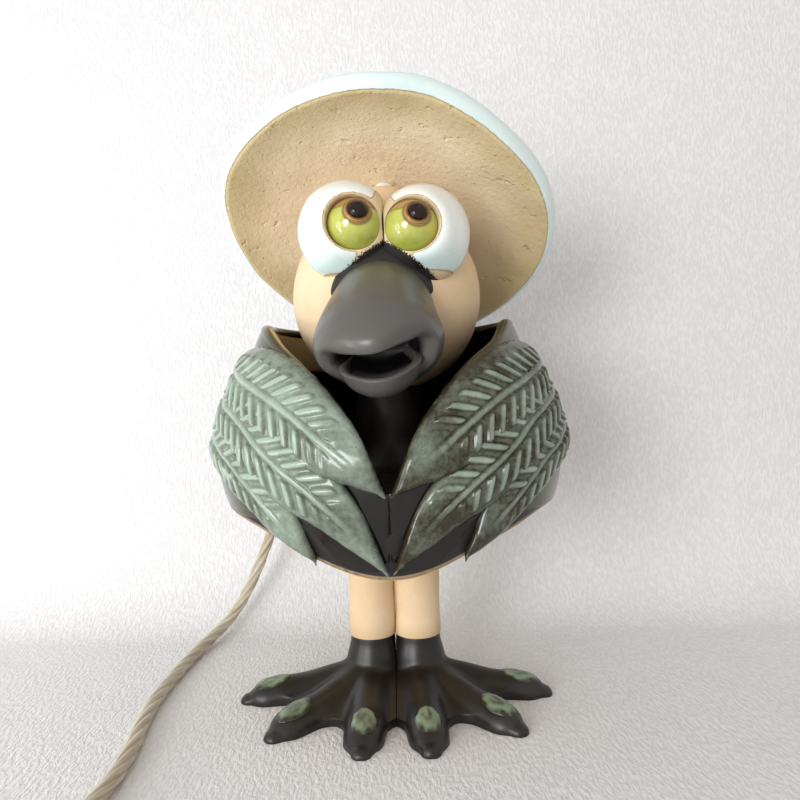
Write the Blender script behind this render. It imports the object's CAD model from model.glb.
"""Ceramic bird bell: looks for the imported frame, laid out as a Blender add-on.

Every surface is a grid of points worked out with numpy in millimetres in the bird's own frame (it
faces -Y and stands on Z = 0) and put into a mesh in metres. Places come from the frame's nodes.
"""
import math
import bpy
import numpy as np
from bpy.props import FloatProperty, FloatVectorProperty, IntProperty, PointerProperty
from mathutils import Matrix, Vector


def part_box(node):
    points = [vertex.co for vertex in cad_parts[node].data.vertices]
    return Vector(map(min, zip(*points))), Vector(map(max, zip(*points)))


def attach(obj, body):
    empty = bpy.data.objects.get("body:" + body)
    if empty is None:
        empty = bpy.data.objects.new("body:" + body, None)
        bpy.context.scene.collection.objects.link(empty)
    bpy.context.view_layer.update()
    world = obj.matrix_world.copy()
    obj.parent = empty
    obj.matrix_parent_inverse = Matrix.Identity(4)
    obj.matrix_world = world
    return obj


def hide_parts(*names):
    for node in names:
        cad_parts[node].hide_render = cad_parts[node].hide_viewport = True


bl_info = {
    "name": "Ceramic Bird Bell",
    "version": (1, 0, 0),
    "blender": (4, 5, 0),
    "location": "View3D > Sidebar > Bird Bell",
    "description": "Glazed stoneware bird bell with pressed feathers, a tipped hat and a flax cord",
    "category": "Object",
}

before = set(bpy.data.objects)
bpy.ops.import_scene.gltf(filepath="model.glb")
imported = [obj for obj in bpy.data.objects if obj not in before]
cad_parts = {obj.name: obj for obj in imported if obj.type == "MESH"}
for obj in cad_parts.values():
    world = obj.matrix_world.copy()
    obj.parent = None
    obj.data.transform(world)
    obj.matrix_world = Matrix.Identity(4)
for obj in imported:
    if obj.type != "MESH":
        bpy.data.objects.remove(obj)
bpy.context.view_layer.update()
MM = 0.001
SIDES = (("left", -1.0), ("right", 1.0))


# ---- places from the frame, in millimetres -------------------------------------------------------
def node_box(name):
    low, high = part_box(name)
    return np.array(low) / MM, np.array(high) / MM


def node_centre(name):
    low, high = node_box(name)
    return (low + high) / 2


HEAD = node_centre("head")
HEAD_R = (node_box("head")[1][2] - node_box("head")[0][2]) / 2
CEILING = node_box("stopper_knot")[1][2] + 0.3
ANKLE = node_box("leg_left")[0][2]
LEG_TOP = node_box("leg_left")[1][2]
LEG_X = node_centre("leg_right")[0]
LEG_R = (node_box("leg_right")[1][1] - node_box("leg_right")[0][1]) / 2
RIM = node_box("cape")[1][2]
EYE_R = (node_box("eyeball_right")[1][0] - node_box("eyeball_right")[0][0]) / 2
EYE = node_box("eyeball_right")[0] + EYE_R

# Bell side, as in the frame: (radius, height above the bell's ceiling) of the outermost surface.
SIDE_R = np.array([46.0, 50.0, 53.5, 56.5, 59.0, 60.2, 57.5, 51.5, 43.7, 40.5])
SIDE_Z = np.array([-33.0, -24.0, -17.0, -9.0, 0.0, 10.0, 23.0, 36.0, 52.5, 59.0])
HEM_SIDE, HEM_FRONT, HEM_BACK, HEM_REACH, HEM_POWER = 6.5, 17.5, 10.0, 51.0, 5.0
NECK_R, BODY_WALL, CAPE_WALL, CORD_HOLE_R = 10.0, 4.5, 4.2, 3.6
UNROLLED_R = 57.0            # radius on which the feathers are laid out flat


# ---- small numpy tools ---------------------------------------------------------------------------
def smooth(low, high, value):
    """0 below low, 1 above high, and the cubic 3t^2 - 2t^3 between."""
    t = np.clip((value - low) / (high - low), 0.0, 1.0)
    return t * t * (3.0 - 2.0 * t)


def cubic(xs, ys, x):
    """Curve through the points (xs, ys): Catmull-Rom slopes on uneven spacing, straight past the ends."""
    xs, ys = np.asarray(xs, float), np.asarray(ys, float)
    x = np.clip(np.asarray(x, float), xs[0], xs[-1])
    slopes = np.gradient(ys, xs, axis=0)
    i = np.clip(np.searchsorted(xs, x, side="right") - 1, 0, len(xs) - 2)
    step = xs[i + 1] - xs[i]
    t = (x - xs[i]) / step
    t, step = (value.reshape(value.shape + (1,) * (ys.ndim - 1)) for value in (t, step))
    first = (2 * t ** 3 - 3 * t ** 2 + 1) * ys[i] + (t ** 3 - 2 * t ** 2 + t) * step * slopes[i]
    return first + (3 * t ** 2 - 2 * t ** 3) * ys[i + 1] + (t ** 3 - t ** 2) * step * slopes[i + 1]


def wobble(points, size, seed):
    """Soft bumps about size mm across, from -1 to 1: eight sine waves in directions drawn from a seed."""
    rng = np.random.default_rng(seed)
    directions = rng.normal(size=(8, 3))
    directions /= np.linalg.norm(directions, axis=1)[:, None]
    speeds = 2 * math.pi / (size * rng.uniform(0.7, 1.6, 8))
    phases = rng.uniform(0, 2 * math.pi, 8)
    waves = np.sin(np.tensordot(points, directions.T, 1) * speeds + phases)
    return waves.sum(axis=-1) / 4.0


def turned(points, degrees, axis):
    """Points turned about X (0), Y (1) or Z (2) by the right-hand rule."""
    c, s = math.cos(math.radians(degrees)), math.sin(math.radians(degrees))
    a, b = [(1, 2), (2, 0), (0, 1)][axis]
    out = points.copy()
    out[..., a] = c * points[..., a] - s * points[..., b]
    out[..., b] = s * points[..., a] + c * points[..., b]
    return out


def stacked(x, y, z):
    return np.stack(np.broadcast_arrays(x, y, z), axis=-1)


def grid(rows, columns, first=0.0, last=1.0):
    """Two arrays, rows by columns: the share along the rows and the turn round the columns."""
    share = np.linspace(first, last, rows)[:, None]
    turn = np.linspace(0, 2 * math.pi, columns, endpoint=False)[None, :]
    return share, turn


def surface(name, points, ring=False, **values):
    """Mesh from a grid of points whose columns close on themselves.

    With ring, the rows close too, as on a tube bent round on itself; without, each end row is closed
    by a fan to its middle. The mesh is turned outwards by the sign of its volume, which is the sum of
    the determinants of its triangles. Each extra value is kept on the points as an attribute.
    """
    rows, columns = points.shape[:2]
    index = np.arange(rows * columns).reshape(rows, columns)
    down = np.roll(index, -1, axis=0) if ring else index[1:]
    up = index if ring else index[:-1]
    quads = np.stack([up, np.roll(up, -1, axis=1), np.roll(down, -1, axis=1), down], axis=-1).reshape(-1, 4)
    flat = points.reshape(-1, 3)
    caps = []
    if not ring:
        flat = np.vstack([flat, points[0].mean(axis=0), points[-1].mean(axis=0)])
        first, last = rows * columns, rows * columns + 1
        caps = [np.stack([np.full(columns, first), np.roll(index[0], -1), index[0]], axis=-1),
                np.stack([np.full(columns, last), index[-1], np.roll(index[-1], -1)], axis=-1)]
    triangles = np.vstack([quads[:, [0, 1, 2]], quads[:, [0, 2, 3]]] + caps)
    volume = np.einsum("ij,ij->i", flat[triangles[:, 0]],
                       np.cross(flat[triangles[:, 1]], flat[triangles[:, 2]])).sum()
    faces = quads.tolist() + [face for cap in caps for face in cap.tolist()]
    if volume < 0:
        faces = [face[::-1] for face in faces]
    mesh = bpy.data.meshes.new(name)
    mesh.from_pydata((flat * MM).tolist(), [], faces)
    mesh.polygons.foreach_set("use_smooth", np.ones(len(faces), bool))
    for key, value in values.items():
        kept = np.broadcast_to(value, (rows, columns)).reshape(-1)
        if not ring:
            ends = [np.broadcast_to(value, (rows, columns))[end].mean() for end in (0, -1)]
            kept = np.concatenate([kept, ends])
        mesh.attributes.new(key, "FLOAT", "POINT").data.foreach_set("value", kept.astype(np.float32))
    mesh.update()
    piece = bpy.data.objects.new(name, mesh)
    bpy.context.collection.objects.link(piece)
    return piece


def place(piece, node, body, finish):
    """Give a finished piece its body, the node it stands for and its material."""
    piece.data.materials.append(finish)
    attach(piece, body)
    if node:
        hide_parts(node)
    return piece


def side_radius(height):
    """Radius of the bell's outermost surface at a height in mm, a curve through the side's points."""
    return cubic(SIDE_Z, SIDE_R, height - CEILING)


def hem_height(y):
    """Hem: level at the sides, falling with the fifth power of the distance ahead of or behind the axis."""
    drop = np.where(y < 0, HEM_FRONT, HEM_BACK)
    return CEILING - HEM_SIDE - drop * np.minimum(np.abs(y) / HEM_REACH, 1.15) ** HEM_POWER


def settings():
    return bpy.context.scene.bird_bell


def in_mm(name):
    """A size from the panel, in mm."""
    return getattr(settings(), name) / MM


def tint(name):
    return tuple(getattr(settings(), name)) + (1.0,)


# ---- shader node groups --------------------------------------------------------------------------
def group_input(tree, kind, name, default, low=None, high=None):
    socket = tree.interface.new_socket(name=name, in_out="INPUT", socket_type=kind)
    socket.default_value = default
    if low is not None:
        socket.min_value, socket.max_value = low, high


def new_group(name, inputs, outputs):
    """Empty shader group with its sockets, or None if it is there already."""
    if name in bpy.data.node_groups:
        return None
    tree = bpy.data.node_groups.new(name, "ShaderNodeTree")
    for kind, socket, default in inputs:
        group_input(tree, kind, socket, default)
    for kind, socket in outputs:
        tree.interface.new_socket(name=socket, in_out="OUTPUT", socket_type=kind)
    return tree


class Wires:
    """Short way to add nodes to a tree and link them."""

    def __init__(self, tree):
        self.tree = tree
        self.start = tree.nodes.new("NodeGroupInput") if tree.interface.items_tree else None
        self.end = tree.nodes.new("NodeGroupOutput") if tree.interface.items_tree else None

    def put(self, kind, inputs=None, **fields):
        node = self.tree.nodes.new(kind)
        for key, value in fields.items():
            setattr(node, key, value)
        for key, value in (inputs or {}).items():
            socket = node.inputs[key]
            if hasattr(value, "is_output"):
                self.tree.links.new(value, socket)
            else:
                socket.default_value = value
        return node

    def math(self, operation, first, second=0.0, clamp=False):
        node = self.put("ShaderNodeMath", {0: first, 1: second}, operation=operation, use_clamp=clamp)
        return node.outputs[0]

    def mix(self, share, first, second):
        node = self.put("ShaderNodeMix", data_type="RGBA")
        for key, value in ((0, share), (6, first), (7, second)):
            if hasattr(value, "is_output"):
                self.tree.links.new(value, node.inputs[key])
            else:
                node.inputs[key].default_value = value
        return node.outputs[2]

    def blend(self, share, first, second):
        """Mix of two numbers."""
        return self.put("ShaderNodeMix", {0: share, 2: first, 3: second}, data_type="FLOAT").outputs[0]

    def noise(self, vector, scale, detail=3.0, roughness=0.55):
        inputs = {"Vector": vector, "Scale": scale, "Detail": detail, "Roughness": roughness}
        return self.put("ShaderNodeTexNoise", inputs).outputs["Fac"]

    def cells(self, vector, scale):
        """Distance to the nearest of many scattered points."""
        node = self.put("ShaderNodeTexVoronoi", {"Vector": vector, "Scale": scale}, feature="F1")
        return node.outputs["Distance"]

    def step(self, value, low, high):
        """Smooth step of a value from 0 at low to 1 at high."""
        inputs = {"Value": value, "From Min": low, "From Max": high}
        return self.put("ShaderNodeMapRange", inputs, interpolation_type="SMOOTHSTEP").outputs[0]

    def out(self, name, value):
        self.tree.links.new(value, self.end.inputs[name])


COLOR, NUMBER, VECTOR = "NodeSocketColor", "NodeSocketFloat", "NodeSocketVector"


def clay_grain():
    """Bare grogged clay: cloudy colour, fine grains, sparse dark and pale grog, and tool scratches."""
    inputs = [(VECTOR, "Place", (0, 0, 0)), (COLOR, "Clay", (0.8, 0.6, 0.4, 1)),
              (COLOR, "Toasted", (0.6, 0.35, 0.15, 1)), (NUMBER, "Toast", 0.0), (NUMBER, "Grog", 0.5)]
    tree = new_group("clay_grain", inputs, [(COLOR, "Color"), (NUMBER, "Roughness"), (NUMBER, "Height")])
    if tree is None:
        return bpy.data.node_groups["clay_grain"]
    w = Wires(tree)
    place_in, grog = w.start.outputs["Place"], w.start.outputs["Grog"]
    cloud = w.noise(place_in, 60.0, 4.0)
    fine = w.noise(place_in, 1400.0, 3.0, 0.7)
    grains = w.cells(place_in, 620.0)
    grains = w.math("MULTIPLY", w.step(grains, 0.28, 0.08), w.step(w.noise(place_in, 330.0, 2.0), 0.52, 0.7))
    cloudy = w.math("MULTIPLY", w.math("SUBTRACT", cloud, 0.5), 0.7)
    toast = w.math("ADD", w.start.outputs["Toast"], cloudy, True)
    color = w.mix(toast, w.start.outputs["Clay"], w.start.outputs["Toasted"])
    dark = w.mix(0.55, color, (0.23, 0.12, 0.05, 1))
    color = w.mix(w.math("MULTIPLY", w.math("MULTIPLY", grains, grog), 0.8), color, dark)
    color = w.mix(w.math("MULTIPLY", w.step(fine, 0.55, 0.72), 0.12), color, (0.93, 0.80, 0.62, 1))
    pits = w.math("MULTIPLY", w.step(w.noise(place_in, 210.0, 2.0), 0.64, 0.74), grog)
    lumps = w.noise(place_in, 430.0, 4.0, 0.65)
    height = w.math("ADD", w.math("MULTIPLY", fine, 0.45), w.math("MULTIPLY", lumps, 1.5))
    height = w.math("SUBTRACT", height, w.math("MULTIPLY", pits, 1.4))
    height = w.math("ADD", height, w.math("MULTIPLY", grains, 0.6))
    w.out("Color", color)
    w.out("Roughness", w.math("ADD", 0.78, w.math("MULTIPLY", fine, 0.15)))
    w.out("Height", height)
    return tree


def glaze_coat():
    """Glaze: thin and dark on raised edges, pale where it pools, with a mottle and fine iron specks."""
    inputs = [(VECTOR, "Place", (0, 0, 0)), (COLOR, "Thin", (0.1, 0.1, 0.1, 1)),
              (COLOR, "Pooled", (0.5, 0.5, 0.5, 1)), (NUMBER, "Depth", 0.5), (NUMBER, "Mottle", 0.3),
              (NUMBER, "Specks", 0.3)]
    tree = new_group("glaze_coat", inputs, [(COLOR, "Color"), (NUMBER, "Roughness"), (NUMBER, "Height")])
    if tree is None:
        return bpy.data.node_groups["glaze_coat"]
    w = Wires(tree)
    place_in = w.start.outputs["Place"]
    broad = w.noise(place_in, 75.0, 4.0, 0.6)
    small = w.noise(place_in, 520.0, 4.0, 0.65)
    fleck = w.math("MULTIPLY", w.math("SUBTRACT", small, 0.5), 0.9)
    sway = w.math("MULTIPLY", w.math("ADD", w.math("SUBTRACT", broad, 0.5), fleck), w.start.outputs["Mottle"])
    depth = w.math("ADD", w.start.outputs["Depth"], sway, True)
    color = w.mix(depth, w.start.outputs["Thin"], w.start.outputs["Pooled"])
    dots = w.cells(place_in, 900.0)
    dots = w.math("MULTIPLY", w.step(dots, 0.25, 0.1), w.step(w.noise(place_in, 260.0, 2.0), 0.5, 0.66))
    color = w.mix(w.math("MULTIPLY", dots, w.start.outputs["Specks"]), color, (0.035, 0.03, 0.018, 1))
    w.out("Color", color)
    w.out("Roughness", w.math("ADD", 0.10, w.math("MULTIPLY", small, 0.14)))
    w.out("Height", w.math("ADD", w.math("MULTIPLY", broad, 0.7), w.math("MULTIPLY", small, 0.10)))
    return tree


def ragged_edge():
    """Turns a smooth mask into one with a brushed, feathery edge: noise is added before the step."""
    inputs = [(VECTOR, "Place", (0, 0, 0)), (NUMBER, "Mask", 0.0), (NUMBER, "Ragged", 0.3),
              (NUMBER, "Size", 700.0)]
    tree = new_group("ragged_edge", inputs, [(NUMBER, "Mask"), (NUMBER, "Edge")])
    if tree is None:
        return bpy.data.node_groups["ragged_edge"]
    w = Wires(tree)
    wave = w.noise(w.start.outputs["Place"], w.start.outputs["Size"], 4.0, 0.65)
    value = w.math("ADD", w.start.outputs["Mask"],
                   w.math("MULTIPLY", w.math("SUBTRACT", wave, 0.5), w.start.outputs["Ragged"]))
    mask = w.step(value, 0.42, 0.58)
    w.out("Mask", mask)
    w.out("Edge", w.math("MULTIPLY", w.step(value, 0.18, 0.45), w.math("SUBTRACT", 1.0, mask)))
    return tree


# ---- materials -----------------------------------------------------------------------------------
def new_material(name):
    """A material with its output, its Principled shader and the piece's Object coordinates."""
    material = bpy.data.materials.new(name)
    material.use_nodes = True
    material.node_tree.nodes.clear()
    w = Wires(material.node_tree)
    shader = w.put("ShaderNodeBsdfPrincipled")
    w.put("ShaderNodeOutputMaterial", {"Surface": shader.outputs[0]})
    place_out = w.put("ShaderNodeTexCoord").outputs["Object"]
    return material, w, shader, place_out


def kept(name, make):
    """The material of that name, made on first use."""
    return bpy.data.materials.get(name) or make(name)


def bump(w, shader, height, strength, distance):
    node = w.put("ShaderNodeBump", {"Height": height, "Strength": strength, "Distance": distance})
    w.tree.links.new(node.outputs[0], shader.inputs["Normal"])


def grouped(w, tree, **inputs):
    node = w.put("ShaderNodeGroup", node_tree=tree)
    for key, value in inputs.items():
        if hasattr(value, "is_output"):
            w.tree.links.new(value, node.inputs[key])
        else:
            node.inputs[key].default_value = value
    return node


def glazed(w, at, thin, pooled, depth, mottle, specks):
    """The glaze coat group, with colours given as the names of settings."""
    return grouped(w, glaze_coat(), Place=at, Thin=tint(thin), Pooled=tint(pooled), Depth=depth,
                   Mottle=mottle, Specks=specks)


def clay_of(w, at, clay, toasted, grog):
    """The clay group, toasted by the attribute toast."""
    return grouped(w, clay_grain(), Place=at, Clay=tint(clay), Toasted=tint(toasted),
                   Toast=read(w, "toast"), Grog=grog)


def read(w, name):
    return w.put("ShaderNodeAttribute", attribute_name=name, attribute_type="GEOMETRY").outputs["Fac"]


def link(w, shader, **outputs):
    for key, value in outputs.items():
        w.tree.links.new(value, shader.inputs[key.replace("_", " ")])


def bare_clay(name):
    material, w, shader, at = new_material(name)
    clay = clay_of(w, at, "clay", "clay_toasted", 0.35)
    link(w, shader, Base_Color=clay.outputs["Color"], Roughness=clay.outputs["Roughness"])
    bump(w, shader, clay.outputs["Height"], 0.35, 0.0002)
    return material


def part_glazed(name, thin, pooled, mottle, specks, ragged, size, grog, edge_tint, relief=0.0002,
                satin=0.0):
    """Bare clay with a glaze where the attribute glaze is 1, and a toasted line along the glaze's edge."""
    material, w, shader, at = new_material(name)
    clay = clay_of(w, at, "hat_clay", "hat_toasted", grog)
    coat = glazed(w, at, thin, pooled, read(w, "pool"), mottle, specks)
    edge = grouped(w, ragged_edge(), Place=at, Mask=read(w, "glaze"), Ragged=ragged, Size=size)
    mask = edge.outputs["Mask"]
    body = w.mix(w.math("MULTIPLY", edge.outputs["Edge"], 0.85), clay.outputs["Color"], edge_tint)
    color = w.mix(mask, body, coat.outputs["Color"])
    black = grouped(w, ragged_edge(), Place=at, Mask=read(w, "black"), Ragged=1.1, Size=2000.0)
    color = w.mix(black.outputs["Mask"], color, tint("dark_glaze"))
    glossy = w.math("ADD", coat.outputs["Roughness"], satin)
    link(w, shader, Base_Color=color, Roughness=w.blend(mask, clay.outputs["Roughness"], glossy))
    height = w.blend(mask, clay.outputs["Height"], coat.outputs["Height"])
    raised = w.math("ADD", height, w.math("MULTIPLY", mask, 1.2))
    bump(w, shader, raised, 0.7, relief)
    return material


def hat_finish(name):
    return part_glazed(name, "white_glaze", "aqua_glaze", 0.5, 0.1, 0.5, 900.0, 0.8,
                       (0.40, 0.30, 0.09, 1), relief=0.0006)


def lobe_finish(name):
    return part_glazed(name, "white_glaze", "aqua_glaze", 0.35, 0.30, 0.55, 1700.0, 0.3,
                       (0.36, 0.20, 0.035, 1))


def coated(name, thin, pooled, mottle, specks, strength, roughness_shift):
    """A piece glazed all over, whose glaze depth is the attribute pool."""
    material, w, shader, at = new_material(name)
    coat = glazed(w, at, thin, pooled, read(w, "pool"), mottle, specks)
    rough = w.math("ADD", coat.outputs["Roughness"], roughness_shift)
    color = w.mix(read(w, "black"), coat.outputs["Color"], tint("mouth_black"))
    link(w, shader, Base_Color=color, Roughness=rough)
    bump(w, shader, coat.outputs["Height"], strength, 0.0003)
    return material


def dark_finish(name):
    return coated(name, "dark_glaze", "dark_pooled", 0.6, 0.3, 0.25, 0.22)


def feather_finish(name):
    return coated(name, "feather_thin", "feather_pooled", 0.75, 0.7, 0.5, 0.0)


def nail_finish(name):
    return coated(name, "feather_thin", "nail_glaze", 0.9, 0.9, 0.5, 0.02)


def beak_finish(name):
    return coated(name, "beak_glaze", "beak_olive", 0.35, 0.15, 0.18, 0.16)


def eye_finish(name):
    """Yellow-green glass glaze below, ochre clay above, a brown line between and round the pupil."""
    material, w, shader, at = new_material(name)
    coat = glazed(w, at, "eye_deep", "eye_glaze", read(w, "pool"), 0.8, 0.25)
    edge = grouped(w, ragged_edge(), Place=at, Mask=read(w, "glaze"), Ragged=0.12, Size=600.0)
    color = w.mix(edge.outputs["Mask"], tint("eye_ochre"), coat.outputs["Color"])
    color = w.mix(w.math("MULTIPLY", read(w, "line"), 0.9), color, tint("ring_glaze"))
    link(w, shader, Base_Color=color, Roughness=w.math("MULTIPLY", coat.outputs["Roughness"], 0.6))
    bump(w, shader, coat.outputs["Height"], 0.12, 0.0002)
    shader.inputs["Coat Weight"].default_value = 0.6
    shader.inputs["Coat Roughness"].default_value = 0.04
    return material


def ring_finish(name):
    return coated(name, "ring_glaze", "eye_ochre", 0.5, 0.2, 0.2, 0.0)


def pupil_finish(name):
    material, w, shader, at = new_material(name)
    coat = glazed(w, at, "pupil_black", "pupil_brown", 0.3, 0.5, 0.0)
    rough = w.math("MULTIPLY", coat.outputs["Roughness"], 0.4)
    link(w, shader, Base_Color=coat.outputs["Color"], Roughness=rough)
    shader.inputs["IOR"].default_value = 1.36
    return material


def flax_finish(name):
    """Pale flax: streaks along the fibres, darker between the plies."""
    material, w, shader, at = new_material(name)
    uv = w.put("ShaderNodeUVMap", uv_map="along").outputs[0]
    stretch = w.put("ShaderNodeMapping", {"Vector": uv, "Scale": (26.0, 700.0, 1.0)}).outputs[0]
    fibre = w.noise(stretch, 1.0, 5.0, 0.7)
    patch = w.noise(at, 90.0, 3.0)
    color = w.mix(w.step(fibre, 0.3, 0.7), tint("flax_dark"), tint("flax"))
    color = w.mix(w.math("MULTIPLY", w.step(patch, 0.35, 0.75), 0.35), color, (0.82, 0.79, 0.72, 1))
    color = w.mix(w.math("MULTIPLY", w.math("SUBTRACT", 1.0, read(w, "ply")), 0.55), color, tint("flax_dark"))
    link(w, shader, Base_Color=color)
    shader.inputs["Roughness"].default_value = 0.85
    shader.inputs["Sheen Weight"].default_value = 0.25
    bump(w, shader, fibre, 0.6, 0.0003)
    return material


def plain_flax(name):
    """Flax for the small hidden cords that come straight from the frame."""
    material, w, shader, at = new_material(name)
    stretch = w.put("ShaderNodeMapping", {"Vector": at, "Scale": (900.0, 900.0, 90.0)}).outputs[0]
    fibre = w.noise(stretch, 1.0, 4.0, 0.7)
    link(w, shader, Base_Color=w.mix(w.step(fibre, 0.3, 0.7), tint("flax_dark"), tint("flax")))
    shader.inputs["Roughness"].default_value = 0.85
    bump(w, shader, fibre, 0.6, 0.0003)
    return material


def floor_finish(name):
    material, w, shader, at = new_material(name)
    stretched = w.put("ShaderNodeMapping", {"Vector": at, "Scale": (900.0, 380.0, 380.0)}).outputs[0]
    ribs = w.noise(stretched, 1.0, 2.0)
    ribs = w.math("ADD", w.step(ribs, 0.35, 0.65), w.math("MULTIPLY", w.noise(at, 60.0, 3.0), 0.8))
    link(w, shader, Base_Color=w.mix(w.math("MULTIPLY", ribs, 0.3), tint("floor"), (0.95, 0.95, 0.96, 1)))
    shader.inputs["Roughness"].default_value = 0.8
    bump(w, shader, ribs, 0.5, 0.0004)
    return material


# ---- bell body and cape --------------------------------------------------------------------------
def bell_body_points():
    """Turned loop: down the outside from the neck to the hem, round the hem, up the inside to the cord
    channel and up the channel. At each turn the lower rows are squeezed so that they end on the hem."""
    turn = grid(1, 240)[1]
    neck = NECK_R
    outer_r = [neck, neck + 0.2, neck + 0.6, neck + 1.8, neck + 3.4, neck + 6.5, neck + 20, 43.2, 51.2]
    outer_z = [36.0, 33.0, 28.0, 19.0, 10.0, 5.0, 3.2, 0.5, -2.5]
    t = np.linspace(0, 1, 60)
    run = np.concatenate([[0], np.cumsum(np.hypot(np.diff(outer_r), np.diff(outer_z)))])
    top_r, top_z = cubic(run, outer_r, t * run[-1]), cubic(run, outer_z, t * run[-1])
    top_r = top_r[:, None] + 0 * turn
    top_z = CEILING + top_z[:, None] + 0 * turn
    x, y = np.sin(turn), -np.cos(turn)
    down = np.linspace(0, 1, 40)[1:, None]
    hem = hem_height(y * 50.0)
    skirt_z = top_z[-1] + down * (hem - top_z[-1])
    skirt_r = side_radius(skirt_z) - 3.0
    skirt_r = np.minimum(skirt_r, 51.2 + (CEILING - 2.5 - skirt_z) * 1.1)
    wall = BODY_WALL
    bead = np.linspace(0, math.pi, 10)[1:-1, None]
    bead_r = skirt_r[-1] - wall / 2 + wall / 2 * np.cos(bead)
    bead_z = hem - 1.6 * np.sin(bead)
    up_z, up_r = skirt_z[::-1], np.maximum(skirt_r[::-1] - wall, 30.0)
    under = np.linspace(0, 1, 26)[1:, None]
    under_r = up_r[-1] + under * (CORD_HOLE_R - up_r[-1])
    under_z = up_z[-1] + (CEILING - up_z[-1]) * smooth(0, 0.5, under)
    bore_z = CEILING + np.linspace(0, 1, 12)[1:, None] * 35.0 + 0 * turn
    bore_r = CORD_HOLE_R + 0 * bore_z
    radius = np.vstack([top_r, skirt_r, bead_r, up_r, under_r, bore_r])
    height = np.vstack([top_z, skirt_z, bead_z, up_z, under_z, bore_z])
    points = stacked(radius * x, radius * y, height)
    push = wobble(points, 26.0, 3) * 0.35 * settings().hand_wobble
    points[..., 0] += push * x * smooth(5.0, 9.0, radius)
    points[..., 1] += push * y * smooth(5.0, 9.0, radius)
    outside = len(top_z) + len(skirt_z)
    glaze = np.ones_like(radius)
    glaze[outside + 2:] = 0.0
    glaze[outside - 1:outside + 2] = 0.5
    return points, glaze


class BELL_OT_body(bpy.types.Operator):
    """Build the dark bell body with its neck column"""
    bl_idname = "bird_bell.body"
    bl_label = "Bell Body"

    def execute(self, context):
        points, glaze = bell_body_points()
        depth = 0.25 + 0.4 * wobble(points, 30.0, 8)
        piece = surface("bell_body_glazed", points, ring=True, glaze=glaze, pool=depth, toast=0.35, black=0.0)
        place(piece, "bell_body", "bell", kept("bell body glaze", body_finish))
        return {"FINISHED"}


def body_finish(name):
    return part_glazed(name, "dark_glaze", "dark_pooled", 0.6, 0.3, 0.2, 500.0, 0.4,
                       (0.30, 0.14, 0.04, 1), satin=0.3)


COLLAR_TURN = [1.0, 3.0, 6.3, 12.0, 21.4, 30.0, 45.0, 58.0, 72.0, 90.0, 180.0]
COLLAR_RISE = [3.0, 7.0, 14.0, 22.5, 31.5, 37.0, 43.5, 48.5, 51.5, 52.6, 52.6]


def collar_rise(turn):
    """Height of the cape's edge above the ceiling: low at the front point, level from the sides back."""
    degrees = np.degrees(np.abs((turn + math.pi) % (2 * math.pi) - math.pi))
    return cubic(COLLAR_TURN, COLLAR_RISE, np.maximum(degrees, 1.0))


def cape_points():
    """Slab that follows the bell's side from the shoulder up to the collar's edge, where it rolls over.

    Columns run round from one side of the front opening to the other, rows are a closed loop through
    the slab: outside up, a round edge, inside down and a round foot."""
    columns = 400
    across = np.linspace(0, 1, columns)
    slit = math.radians(0.02)
    closer_in_front = across + 0.11 * np.sin(2 * math.pi * across) / math.pi
    turn = slit + (2 * math.pi - 2 * slit) * closer_in_front
    front = np.degrees(np.minimum(turn, 2 * math.pi - turn))
    base_z = CEILING - HEM_SIDE - 13.5 * smooth(27.0, 12.0, front)
    top_z = CEILING + collar_rise(turn) - 1.8
    rows = 90
    rise = np.linspace(0, 1, rows)[:, None]
    out_z = base_z + rise * (top_z - base_z)
    wall = CAPE_WALL
    flare = 1.0 * smooth(0.8, 1.0, rise)
    out_r = side_radius(out_z) - 2.6 + flare
    angle = np.linspace(0, math.pi, 14)[1:-1, None]
    lip_r = out_r[-1] - wall / 2 + (wall / 2 + 0.25 * np.sin(angle)) * np.cos(angle)
    lip_z = top_z + 2.0 * np.sin(angle)
    in_z, in_r = out_z[::-1], out_r[::-1] - wall
    foot_r = out_r[0] - wall / 2 - wall / 2 * np.cos(angle)
    foot_z = base_z - 0.8 * np.sin(angle) + 0 * turn
    radius = np.vstack([out_r, lip_r, in_r, foot_r])
    height = np.vstack([out_z, lip_z, in_z, foot_z])
    points = stacked(radius * np.sin(turn), -radius * np.cos(turn), height)
    push = wobble(points, 30.0, 5) * 0.5 * settings().hand_wobble
    barbs = cape_barbs(points, rise, turn, rows)
    points[..., 0] += (push + barbs) * np.sin(turn)
    points[..., 1] -= (push + barbs) * np.cos(turn)
    inside = np.zeros(radius.shape)
    inside[rows + len(lip_z) // 2:] = 1.0
    return points, barbs, inside


def cape_barbs(points, rise, turn, rows):
    """Pressed herringbone on the back of the cape: slanting ridges that meet on upright quills."""
    depth = np.zeros(points.shape[:2])
    back = smooth(1.35, 1.7, np.minimum(turn, 2 * math.pi - turn))
    arc = turn * 58.0
    cell = (arc / 30.0 + 0.5) % 1.0 - 0.5
    lateral = np.abs(cell) * 30.0
    height = points[:rows, :, 2]
    phase = (height + lateral * 0.9) / in_mm("barb_spacing")
    ridge = np.maximum(np.sin(2 * math.pi * phase), -0.3)
    window = smooth(1.0, 2.5, lateral) * smooth(14.0, 11.5, lateral)
    quill = smooth(1.2, 0.2, lateral)
    edge = smooth(0.05, 0.16, rise) * smooth(0.86, 0.72, rise)
    depth[:rows] = back * edge * (0.45 * ridge * window + 0.5 * quill)
    return depth


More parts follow.
